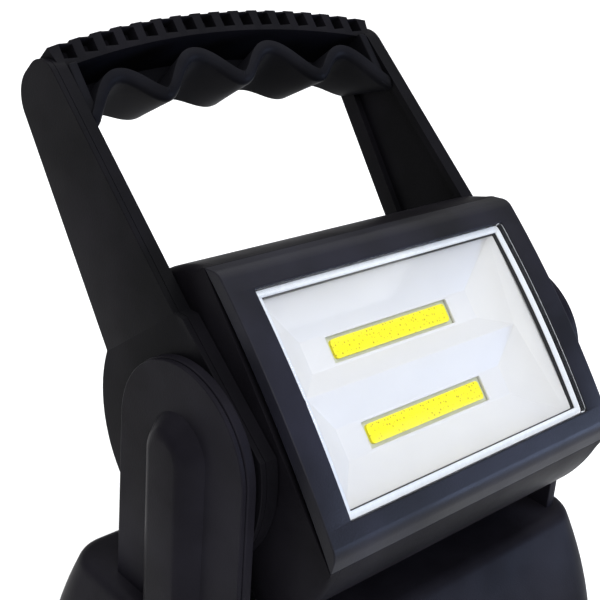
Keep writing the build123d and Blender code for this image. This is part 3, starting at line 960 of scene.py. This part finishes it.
clear_selection()
bpy.ops.mesh.primitive_plane_add(size=1, location=(0, tray_rim_y, drum_z), rotation=(pi / 2, 0, 0))
bpy.context.object.scale = (2 * tray_half_x, 2 * tray_half_z, 1)
tray = shape("reflector_tray")
push(y=tray_mouth_y - tray_rim_y)
bpy.ops.transform.resize(value=(mouth_half_x / tray_half_x, 1, (tray_half_z - tray_wall) / tray_half_z))
pick("FACE", lambda f: f.calc_center_median().y < tray_rim_y + 0.1 * mm)
bpy.ops.mesh.delete(type="FACE")
bpy.ops.mesh.select_all(action="SELECT")
bpy.ops.mesh.bisect(plane_co=(0, 0, drum_z + ridge_z), plane_no=(0, 0, 1), threshold=1e-6)
pick("VERT", lambda v: abs(v.co.z - drum_z - ridge_z) < 0.01 * mm and v.co.y > tray_mouth_y - 0.1 * mm)
mesh = bmesh.from_edit_mesh(tray.data)
for vertex in mesh.verts:
    if vertex.select:
        vertex.co.y = ridge_y
        vertex.co.x = ridge_half_x * (1 if vertex.co.x > 0 else -1)
bmesh.update_edit_mesh(tray.data)
for low, high, strip_z in trough_rows:
    upper = strip_z > 0

    def is_trough(face):
        middle = face.calc_center_median()
        across = middle.y > tray_rim_y + 1.5 * mm and face.calc_area() > smallest_trough_face
        return across and (middle.z > drum_z + ridge_z) == upper

    pick("FACE", is_trough)
    for limits in (
        (floor_half_x, low, high, trough_floor_y),
        (slot_half_x, strip_z - slot_half_z, strip_z + slot_half_z, trough_floor_y),
        (slot_half_x, strip_z - slot_half_z, strip_z + slot_half_z, trough_floor_y + slot_depth),
    ):
        bpy.ops.mesh.extrude_region_move(TRANSFORM_OT_translate={"value": (0, 0.1 * mm, 0)})
        mesh = bmesh.from_edit_mesh(tray.data)
        chosen = [v for v in mesh.verts if v.select]
        middle_z = sum(v.co.z for v in chosen) / len(chosen)
        for vertex in chosen:
            vertex.co.x = limits[0] * (1 if vertex.co.x > 0 else -1)
            vertex.co.z = drum_z + (limits[2] if vertex.co.z > middle_z else limits[1])
            vertex.co.y = limits[3]
        bmesh.update_edit_mesh(tray.data)
    bpy.ops.mesh.delete(type="FACE")
bpy.ops.mesh.select_all(action="SELECT")
bpy.ops.mesh.remove_doubles(threshold=0.005 * mm)
bpy.ops.mesh.normals_make_consistent(inside=False)
# the tray is open at the back of its slots, so its outward side is set by hand
mesh = bmesh.from_edit_mesh(tray.data)
floor_face = max(mesh.faces, key=lambda f: f.calc_center_median().y if abs(f.normal.y) > 0.9 else -1)
if floor_face.normal.y > 0:
    bpy.ops.mesh.flip_normals()
bpy.ops.object.mode_set(mode="OBJECT")
use_modifier(tray, "SOLIDIFY", thickness=tray_wall, offset=-1.0)
soften(tray, 0.18 * mm, 2, 8)
into_head(tray, gloss_white, "head", "reflector")

# ---------------------------------------------------------------------------
# Light strips: chip-on-board LEDs. Each is an aluminium board, white on its face,
# with a strip of yellow phosphor gel cast over a long row of tiny blue chips.
# ---------------------------------------------------------------------------
phosphor_half_x = 18.9 * mm
phosphor_half_z = 2.3 * mm
phosphor_back_y = -15.1 * mm
phosphor_front_y = -15.9 * mm
phosphor_corner = 0.9 * mm
gel_shoulder = 0.45 * mm
gel_crown = 0.15 * mm
board_half_x = 23.0 * mm
board_half_z = 6.5 * mm
board_thickness = 1.2 * mm
board_corner = 1.0 * mm
chip_pitch = 0.9 * mm

# cast silicone gel full of phosphor: deep yellow, darker over each small chip; its faint yellow emission is
# a painted glow, as the strip is not lit
phosphor_gel, output, place = new_material("yellow_phosphor_gel")
chips = add_node(
    phosphor_gel,
    "ShaderNodeTexVoronoi",
    {"feature": "F1"},
    {"Vector": place},
    Scale=1 / chip_pitch,
    Randomness=0.55,
)
gel_tone = add_node(phosphor_gel, "ShaderNodeValToRGB", links={"Fac": chips.outputs["Distance"]})
gel_tone.color_ramp.elements[0].position = 0.08
gel_tone.color_ramp.elements[0].color = linear("#a08600")
gel_tone.color_ramp.elements[1].position = 0.38
gel_tone.color_ramp.elements[1].color = linear("#ecdf00")
gel_bump = add_node(
    phosphor_gel,
    "ShaderNodeBump",
    links={"Height": chips.outputs["Distance"]},
    Strength=0.35,
    Distance=0.12 * mm,
)
gel = add_node(
    phosphor_gel,
    "ShaderNodeBsdfPrincipled",
    links={"Base Color": gel_tone.outputs["Color"], "Normal": gel_bump.outputs["Normal"]},
    Roughness=0.42,
    # painted glow: the gel gives off a faint yellow light of its own, though the strip is not lit
    Emission_Strength=0.06,
)
gel.inputs["Emission Color"].default_value = linear("#fff000")
phosphor_gel.node_tree.links.new(gel.outputs["BSDF"], output.inputs["Surface"])

# printed solder mask on aluminium: an off-white that leans to yellow
board_white, output, place = new_material("white_solder_mask_on_aluminium")
mask_noise = add_node(board_white, "ShaderNodeTexNoise", links={"Vector": place}, Scale=700.0, Detail=2.0)
mask_tone = add_node(board_white, "ShaderNodeValToRGB", links={"Fac": mask_noise.outputs["Fac"]})
mask_tone.color_ramp.elements[0].color = linear("#b9bba6")
mask_tone.color_ramp.elements[1].color = linear("#cfd1bd")
mask = add_node(
    board_white, "ShaderNodeBsdfPrincipled", links={"Base Color": mask_tone.outputs["Color"]}, Roughness=0.4
)
board_white.node_tree.links.new(mask.outputs["BSDF"], output.inputs["Surface"])

for (_, _, strip_z), name in zip(trough_rows, ("upper", "lower")):
    strip = box_at(
        "phosphor_strip_" + name,
        (-phosphor_half_x, phosphor_front_y, drum_z + strip_z - phosphor_half_z),
        (phosphor_half_x, phosphor_back_y, drum_z + strip_z + phosphor_half_z),
    )
    pick("EDGE", lambda e: abs(e.verts[0].co.y - e.verts[1].co.y) > 0.5 * mm)
    bpy.ops.mesh.bevel(offset=phosphor_corner, segments=5, affect="EDGES")
    pick("FACE", lambda f: f.normal.y < -0.9)
    bpy.ops.mesh.inset(thickness=gel_shoulder, depth=gel_crown)
    close_up(60)
    into_head(strip, phosphor_gel, "head", "cob_phosphor_" + name)
    board = box_at(
        "cob_board_plate_" + name,
        (-board_half_x, phosphor_back_y, drum_z + strip_z - board_half_z),
        (board_half_x, phosphor_back_y + board_thickness, drum_z + strip_z + board_half_z),
    )
    pick("EDGE", lambda e: abs(e.verts[0].co.y - e.verts[1].co.y) > 0.5 * mm)
    bpy.ops.mesh.bevel(offset=board_corner, segments=4, affect="EDGES")
    close_up()
    soften(board, 0.15 * mm, 2)
    into_head(board, board_white, "head", "cob_board_" + name)

# ---------------------------------------------------------------------------
# Drum: the moulded ABS barrel of the head, cut off flat behind the bezel. Its
# rounded ends meet the end caps in a fine seam, and the push button stands in a
# round collar on its back.
# ---------------------------------------------------------------------------
drum_half = head_half - cap_thickness
drum_wall = 2.4 * mm
button_radius = 6.0 * mm
button_gap = 0.35 * mm
button_length = 7.3 * mm
button_middle_y = 37.65 * mm
# the plain rim of the button's face, then the width and the step of its sunk rings
button_rim = 1.4 * mm
button_ring = 1.1 * mm
button_step = 0.22 * mm
button_ring_count = 3
collar_radius = 9.2 * mm
collar_length = 6.0 * mm
collar_sink = 1.6 * mm
well_length = 16.0 * mm

# moulded ABS, between the housing's and the handle's in tone
drum_abs = grained_plastic("textured_black_abs_drum", "#0c0b0e", "#151418", 0.44)


def barrel(name, x_start, x_end, steps=144):
    """Length of the head's round body, open for shaping.

    Its front is cut off flat where the bezel's back is bowed, so the two meet at the
    top and bottom and stand about 2 mm apart at mid height.
    """
    clear_selection()
    bpy.ops.mesh.primitive_cylinder_add(
        vertices=steps,
        radius=head_radius,
        depth=x_end - x_start,
        location=((x_start + x_end) / 2, 0, drum_z),
        rotation=(0, pi / 2, 0),
    )
    piece = shape(name)
    bpy.ops.mesh.bisect(
        plane_co=(0, rear_corner[0] + 0.02 * mm, drum_z),
        plane_no=(0, -1, 0),
        clear_outer=True,
        use_fill=True,
        threshold=1e-6,
    )
    return piece


drum = barrel("head_drum", -drum_half, drum_half)
close_up()
clear_selection()
bpy.ops.mesh.primitive_cylinder_add(
    vertices=96,
    radius=head_radius - drum_wall,
    depth=2 * drum_half + 2 * mm,
    location=(0, 0, drum_z),
    rotation=(0, pi / 2, 0),
)
hollow = shape("drum_hollow")
close_up()
cut_away(drum, hollow)
clear_selection()
bpy.ops.mesh.primitive_cylinder_add(
    vertices=64,
    radius=collar_radius,
    depth=collar_length,
    location=(0, head_radius - collar_sink, drum_z),
    rotation=(pi / 2, 0, 0),
)
collar = shape("button_collar")
close_up()
cut_away(drum, collar, "UNION")
clear_selection()
bpy.ops.mesh.primitive_cylinder_add(
    vertices=64,
    radius=button_radius + button_gap,
    depth=well_length,
    location=(0, head_radius, drum_z),
    rotation=(pi / 2, 0, 0),
)
well = shape("button_well")
close_up()
cut_away(drum, well)
soften(drum, 0.35 * mm, 3, 30)
into_head(drum, drum_abs, "head", "head_shell")

clear_selection()
bpy.ops.mesh.primitive_cylinder_add(
    vertices=64,
    radius=button_radius,
    depth=button_length,
    location=(0, button_middle_y, drum_z),
    rotation=(pi / 2, 0, 0),
)
button = shape("push_button_cap")
pick("FACE", lambda f: f.normal.y > 0.9)
bpy.ops.mesh.inset(thickness=button_rim)
for _ in range(button_ring_count):
    bpy.ops.mesh.inset(thickness=button_ring, depth=-button_step)
close_up(50)
soften(button, 0.5 * mm, 3, 50)
# moulded rubber: matt and blacker than the plastics round it
button_rubber = grained_plastic("black_button_rubber", "#0a0a0b", "#111113", 0.6, grain=0.6)
into_head(button, button_rubber, "button", "switch_button")

# ---------------------------------------------------------------------------
# End caps: moulded discs screwed into the drum's ends. Their outer rim is rolled
# over, and each has a bore for the pivot and three sunk screw seats.
# ---------------------------------------------------------------------------
screw_ring = 34.4 * mm
screw_angles = (-72, 0, 72)
seat_radius = 3.1 * mm
seat_depth = 1.7 * mm
pivot_bore_radius = 4.05 * mm
pivot_bore_depth = 6.0 * mm
cap_edge = 2.0 * mm
cap = barrel("end_cap_plate_left", -head_half, -drum_half)
pick(
    "EDGE",
    lambda e: all(v.co.x < -head_half + 0.1 * mm and v.co.y > rear_corner[0] + 0.05 * mm for v in e.verts),
)
bpy.ops.mesh.bevel(offset=cap_edge, segments=5, affect="EDGES")
close_up()
# each bore's y and z from the drum's middle, radius and depth
bores = [(0, head_drop, pivot_bore_radius, pivot_bore_depth)]
for angle in screw_angles:
    turn = radians(angle)
    bores.append((screw_ring * cos(turn), screw_ring * sin(turn), seat_radius, seat_depth))
for y, z, radius, depth in bores:
    clear_selection()
    bpy.ops.mesh.primitive_cylinder_add(
        vertices=40,
        radius=radius,
        depth=2 * depth,
        location=(-head_half, y, drum_z + z),
        rotation=(0, pi / 2, 0),
    )
    bore = shape("bore_cutter")
    close_up()
    cut_away(cap, bore)
soften(cap, 0.25 * mm, 2, 40)
turn_about_axis(cap, head_lean)
finish(cap, drum_abs, "head", "end_cap_left")
finish(mirrored_twin(cap, "end_cap_plate_right"), drum_abs, "head", "end_cap_right")

# ---------------------------------------------------------------------------
# Cap screws: pan-head steel screws, zinc plated and blacked, with a cross recess.
# Each side's three are one group, sunk in the end cap's seats.
# ---------------------------------------------------------------------------
screw_radius = 2.8 * mm
screw_head = 1.5 * mm
# depth of the head's middle and of its recess below the cap's face
screw_sink = 0.95 * mm
recess_depth = 1.0 * mm
screw_edge = 0.45 * mm
recess_width = 0.55 * mm
recess_length = 2.6 * mm

# zinc-plated steel, blacked: a dull metal sheen that varies a little from place to place
screw_steel, output, place = new_material("blackened_zinc_plated_steel")
plating = add_node(screw_steel, "ShaderNodeTexNoise", links={"Vector": place}, Scale=500.0, Detail=4.0)
plating_tone = add_node(screw_steel, "ShaderNodeValToRGB", links={"Fac": plating.outputs["Fac"]})
plating_tone.color_ramp.elements[0].color = linear("#3b3b3d")
plating_tone.color_ramp.elements[1].color = linear("#626265")
steel = add_node(
    screw_steel,
    "ShaderNodeBsdfPrincipled",
    links={"Base Color": plating_tone.outputs["Color"]},
    Metallic=1.0,
    Roughness=0.36,
)
screw_steel.node_tree.links.new(steel.outputs["BSDF"], output.inputs["Surface"])

heads = []
for angle in screw_angles:
    y, z = screw_ring * cos(radians(angle)), screw_ring * sin(radians(angle))
    clear_selection()
    bpy.ops.mesh.primitive_cylinder_add(
        vertices=40,
        radius=screw_radius,
        depth=screw_head,
        location=(-head_half + screw_sink, y, drum_z + z),
        rotation=(0, pi / 2, 0),
    )
    head = shape("cap_screw")
    pick("EDGE", lambda e: all(v.co.x < -head_half + 0.3 * mm for v in e.verts))
    bpy.ops.mesh.bevel(offset=screw_edge, segments=3, affect="EDGES")
    close_up()
    for width, height in ((recess_width, recess_length), (recess_length, recess_width)):
        slot = box_at(
            "recess_cutter",
            (-head_half - 1 * mm, y - width / 2, drum_z + z - height / 2),
            (-head_half + recess_depth, y + width / 2, drum_z + z + height / 2),
        )
        close_up()
        cut_away(head, slot)
    heads.append(head)
clear_selection()
for head in heads:
    head.select_set(True)
bpy.context.view_layer.objects.active = heads[0]
bpy.ops.object.join()
screws = heads[0]
screws.name = "cap_screw_set_left"
turn_about_axis(screws, head_lean)
finish(screws, screw_steel, "head", "cap_screws_left")
finish(mirrored_twin(screws, "cap_screw_set_right"), screw_steel, "head", "cap_screws_right")

# ---------------------------------------------------------------------------
# Inner and small pieces that keep their engineered shape: steel pivots and nuts,
# nylon washers, cells, boards, holder and the two thin leads.
# ---------------------------------------------------------------------------


def plain_finish(name, dark, light, roughness, metallic=0.0, scale=300.0):
    """Even finish with a fine mottle: a mid scale noise moves its colour and gloss."""
    material, output, place = new_material(name)
    mottle = add_node(material, "ShaderNodeTexNoise", links={"Vector": place}, Scale=scale, Detail=4.0)
    tone = add_node(material, "ShaderNodeValToRGB", links={"Fac": mottle.outputs["Fac"]})
    tone.color_ramp.elements[0].color = linear(dark)
    tone.color_ramp.elements[1].color = linear(light)
    bump = add_node(
        material, "ShaderNodeBump", links={"Height": mottle.outputs["Fac"]}, Strength=0.2, Distance=0.03 * mm
    )
    surface = add_node(
        material,
        "ShaderNodeBsdfPrincipled",
        links={"Base Color": tone.outputs["Color"], "Normal": bump.outputs["Normal"]},
        Roughness=roughness,
        Metallic=metallic,
    )
    material.node_tree.links.new(surface.outputs["BSDF"], output.inputs["Surface"])
    return material


# bright metals, off-white nylon, a green board, a teal wrap, grey and near-black plastics
turned_steel = plain_finish("turned_bright_steel", "#8f9194", "#c3c5c8", 0.3, 1.0)
white_nylon = plain_finish("natural_nylon_washer", "#d9d6cb", "#ecebe4", 0.5)
cast_aluminium = plain_finish("extruded_aluminium", "#a9abae", "#c9cbce", 0.38, 1.0)
fibreglass_board = plain_finish("green_glass_epoxy_board", "#1d5a36", "#2b7348", 0.42)
cell_wrap = plain_finish("teal_heat_shrink_cell_wrap", "#1a6b74", "#23808a", 0.32)
holder_abs = plain_finish("grey_abs_cell_holder", "#2a2b2d", "#38393c", 0.55)
lead_pvc = plain_finish("black_pvc_lead", "#17171a", "#232326", 0.5)
carried_over = {
    turned_steel: [
        "pivot_bolt_left",
        "pivot_bolt_right",
        "pivot_nut_left",
        "pivot_nut_right",
        "charge_socket",
    ],
    screw_steel: ["base_screws", "leg_screws_left", "leg_screws_right"],
    white_nylon: ["arm_washer_left", "arm_washer_right", "head_washer_left", "head_washer_right"],
    cast_aluminium: ["heat_sink"],
    fibreglass_board: ["driver_board", "charge_board"],
    cell_wrap: ["battery_cells"],
    holder_abs: ["battery_holder", "switch_body"],
    housing_abs: ["base_plate"],
    lead_pvc: ["base_lead", "head_lead"],
}
for material, names in carried_over.items():
    for name in names:
        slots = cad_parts[name].data.materials
        slots.clear()
        slots.append(material)

# ---------------------------------------------------------------------------
# Where it stands: a plain pale floor and soft light, with the lamp seen from its
# left front corner and a little above.
# ---------------------------------------------------------------------------
clear_selection()
bpy.ops.mesh.primitive_plane_add(size=6, location=(0, 0, 0))
floor = bpy.context.object
floor.name = "studio_floor"
# seamless paper: white and matt
paper, output, place = new_material("white_background_paper")
fibre = add_node(paper, "ShaderNodeTexNoise", links={"Vector": place}, Scale=300.0, Detail=3.0)
fibre_bump = add_node(paper, "ShaderNodeBump", links={"Height": fibre.outputs["Fac"]}, Strength=0.05)
sheet = add_node(
    paper, "ShaderNodeBsdfPrincipled", links={"Normal": fibre_bump.outputs["Normal"]}, Roughness=0.9
)
sheet.inputs["Base Color"].default_value = linear("#fbfbfb")
paper.node_tree.links.new(sheet.outputs["BSDF"], output.inputs["Surface"])
floor.data.materials.append(paper)

world = bpy.context.scene.world or bpy.data.worlds.new("studio")
bpy.context.scene.world = world
world.use_nodes = True
world.node_tree.nodes["Background"].inputs["Color"].default_value = linear("#fbfbfb")
world.node_tree.nodes["Background"].inputs["Strength"].default_value = 0.32


def softbox(name, place, aim, size, power, colour="#ffffff"):
    """Rectangular area lamp that looks at a point."""
    clear_selection()
    bpy.ops.object.light_add(type="AREA", location=place)
    lamp = bpy.context.object
    lamp.name = name
    lamp.data.shape = "RECTANGLE"
    lamp.data.size, lamp.data.size_y = size
    lamp.data.energy = power
    lamp.data.color = linear(colour)[:3]
    lamp.rotation_euler = (Vector(aim) - Vector(place)).to_track_quat("-Z", "Y").to_euler()


softbox("overhead_softbox", (0.3, 0.5, 1.8), (0.3, 0.5, 0), (3.2, 3.2), 70.0)
softbox("key_softbox", (-0.35, -0.75, 0.75), (0, 0, 0.09), (0.4, 0.5), 7.0)
softbox("cool_softbox", (0.8, -0.7, 0.17), (0, 0, 0.09), (0.6, 0.3), 9.0, "#bcd2ff")

# the camera's place in metres, its turn in degrees, and its lens and sensor in millimetres
camera_place = (-0.18275, -0.16709, 0.21411)
camera_turn = (66.4498, -4.19494, -41.62845)
camera_lens = 68.906
camera_sensor = 36
clear_selection()
bpy.ops.object.camera_add(location=camera_place, rotation=[radians(angle) for angle in camera_turn])
camera = bpy.context.object
camera.data.lens = camera_lens
camera.data.sensor_width = camera_sensor
bpy.context.scene.camera = camera
bpy.context.scene.view_settings.view_transform = "Standard"
